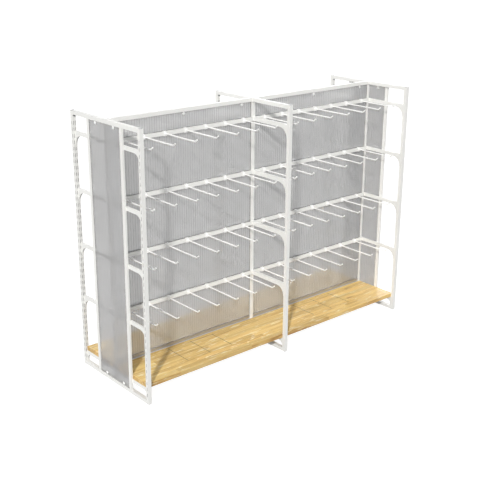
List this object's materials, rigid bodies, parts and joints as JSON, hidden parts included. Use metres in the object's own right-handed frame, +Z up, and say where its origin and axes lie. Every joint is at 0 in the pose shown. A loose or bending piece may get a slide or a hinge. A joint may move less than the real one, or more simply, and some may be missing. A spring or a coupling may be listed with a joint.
{
  "type": "double-sided hook display stand",
  "caption": "Free-standing double-sided retail display stand: square-tube frames, fluted translucent panels, crossbars with hanging hooks and wooden base boards.",
  "frame": {"origin": "on the floor under the middle of the stand", "axes": "+X along the length from left to right, +Y from the front to the rear, +Z up"},
  "size_m": [2.8632, 0.926, 2.125],
  "materials": {
    "frame_paint": "satin off-white powder coat",
    "hook_paint": "gloss white powder coat",
    "panel_sheet": "translucent fluted twin-wall sheet",
    "channel_metal": "satin anodised",
    "rivet_plastic": "moulded white",
    "zinc_steel": "zinc plated",
    "board_wood": "clear satin lacquer on laminated pine"
  },
  "bodies": {
    "stand": {"upright_left_front": "frame_paint", "upright_left_rear": "frame_paint", "upright_middle_front": "frame_paint", "upright_middle_rear": "frame_paint", "upright_right_front": "frame_paint", "upright_right_rear": "frame_paint", "top_rail_left": "frame_paint", "bottom_rail_left": "frame_paint", "centre_post_left": "frame_paint", "top_rail_middle": "frame_paint", "bottom_rail_middle": "frame_paint", "centre_post_middle": "frame_paint", "top_rail_right": "frame_paint", "bottom_rail_right": "frame_paint", "centre_post_right": "frame_paint", "inner_uprights_left": "frame_paint", "inner_uprights_right": "frame_paint", "arms_left_front": "frame_paint", "arms_middle_left_front": "frame_paint", "arms_middle_right_front": "frame_paint", "arms_right_front": "frame_paint", "arms_left_rear": "frame_paint", "arms_middle_left_rear": "frame_paint", "arms_middle_right_rear": "frame_paint", "arms_right_rear": "frame_paint", "ridge_rail_left": "frame_paint", "panel_channel_left": "channel_metal", "central_panel_left": "panel_sheet", "crossbars_left_front": "frame_paint", "crossbars_left_rear": "frame_paint", "ridge_rail_right": "frame_paint", "panel_channel_right": "channel_metal", "central_panel_right": "panel_sheet", "crossbars_right_front": "frame_paint", "crossbars_right_rear": "frame_paint", "end_panel_left": "panel_sheet", "end_panel_right": "panel_sheet", "central_panel_rivets": "rivet_plastic", "end_panel_rivets": "rivet_plastic", "header_inserts": "zinc_steel"},
    "hooks_left_front_1": {"hooks_left_front_1": "hook_paint"},
    "hooks_left_front_2": {"hooks_left_front_2": "hook_paint"},
    "hooks_left_front_3": {"hooks_left_front_3": "hook_paint"},
    "hooks_left_front_4": {"hooks_left_front_4": "hook_paint"},
    "hooks_left_rear_1": {"hooks_left_rear_1": "hook_paint"},
    "hooks_left_rear_2": {"hooks_left_rear_2": "hook_paint"},
    "hooks_left_rear_3": {"hooks_left_rear_3": "hook_paint"},
    "hooks_left_rear_4": {"hooks_left_rear_4": "hook_paint"},
    "hooks_right_front_1": {"hooks_right_front_1": "hook_paint"},
    "hooks_right_front_2": {"hooks_right_front_2": "hook_paint"},
    "hooks_right_front_3": {"hooks_right_front_3": "hook_paint"},
    "hooks_right_front_4": {"hooks_right_front_4": "hook_paint"},
    "hooks_right_rear_1": {"hooks_right_rear_1": "hook_paint"},
    "hooks_right_rear_2": {"hooks_right_rear_2": "hook_paint"},
    "hooks_right_rear_3": {"hooks_right_rear_3": "hook_paint"},
    "hooks_right_rear_4": {"hooks_right_rear_4": "hook_paint"},
    "board_front": {"board_front": "board_wood"},
    "board_rear": {"board_rear": "board_wood"},
    "levelling_feet": {"levelling_feet": "zinc_steel"}
  },
  "joints": [
    {"name": "slide_left_front_1", "type": "slide", "parent": "stand", "child": "hooks_left_front_1", "axis": [1, 0, 0], "range_m": [-0.08, 0.08]},
    {"name": "slide_left_front_2", "type": "slide", "parent": "stand", "child": "hooks_left_front_2", "axis": [1, 0, 0], "range_m": [-0.08, 0.08]},
    {"name": "slide_left_front_3", "type": "slide", "parent": "stand", "child": "hooks_left_front_3", "axis": [1, 0, 0], "range_m": [-0.08, 0.08]},
    {"name": "slide_left_front_4", "type": "slide", "parent": "stand", "child": "hooks_left_front_4", "axis": [1, 0, 0], "range_m": [-0.08, 0.08]},
    {"name": "slide_left_rear_1", "type": "slide", "parent": "stand", "child": "hooks_left_rear_1", "axis": [1, 0, 0], "range_m": [-0.08, 0.08]},
    {"name": "slide_left_rear_2", "type": "slide", "parent": "stand", "child": "hooks_left_rear_2", "axis": [1, 0, 0], "range_m": [-0.08, 0.08]},
    {"name": "slide_left_rear_3", "type": "slide", "parent": "stand", "child": "hooks_left_rear_3", "axis": [1, 0, 0], "range_m": [-0.08, 0.08]},
    {"name": "slide_left_rear_4", "type": "slide", "parent": "stand", "child": "hooks_left_rear_4", "axis": [1, 0, 0], "range_m": [-0.08, 0.08]},
    {"name": "slide_right_front_1", "type": "slide", "parent": "stand", "child": "hooks_right_front_1", "axis": [1, 0, 0], "range_m": [-0.08, 0.08]},
    {"name": "slide_right_front_2", "type": "slide", "parent": "stand", "child": "hooks_right_front_2", "axis": [1, 0, 0], "range_m": [-0.08, 0.08]},
    {"name": "slide_right_front_3", "type": "slide", "parent": "stand", "child": "hooks_right_front_3", "axis": [1, 0, 0], "range_m": [-0.08, 0.08]},
    {"name": "slide_right_front_4", "type": "slide", "parent": "stand", "child": "hooks_right_front_4", "axis": [1, 0, 0], "range_m": [-0.08, 0.08]},
    {"name": "slide_right_rear_1", "type": "slide", "parent": "stand", "child": "hooks_right_rear_1", "axis": [1, 0, 0], "range_m": [-0.08, 0.08]},
    {"name": "slide_right_rear_2", "type": "slide", "parent": "stand", "child": "hooks_right_rear_2", "axis": [1, 0, 0], "range_m": [-0.08, 0.08]},
    {"name": "slide_right_rear_3", "type": "slide", "parent": "stand", "child": "hooks_right_rear_3", "axis": [1, 0, 0], "range_m": [-0.08, 0.08]},
    {"name": "slide_right_rear_4", "type": "slide", "parent": "stand", "child": "hooks_right_rear_4", "axis": [1, 0, 0], "range_m": [-0.08, 0.08]},
    {"name": "lift_board_front", "type": "slide", "parent": "stand", "child": "board_front", "axis": [0, 0, 1], "range_m": [0, 0.3]},
    {"name": "lift_board_rear", "type": "slide", "parent": "stand", "child": "board_rear", "axis": [0, 0, 1], "range_m": [0, 0.3]},
    {"name": "level_feet", "type": "slide", "parent": "stand", "child": "levelling_feet", "axis": [0, 0, -1], "range_m": [0, 0.02]}
  ]
}
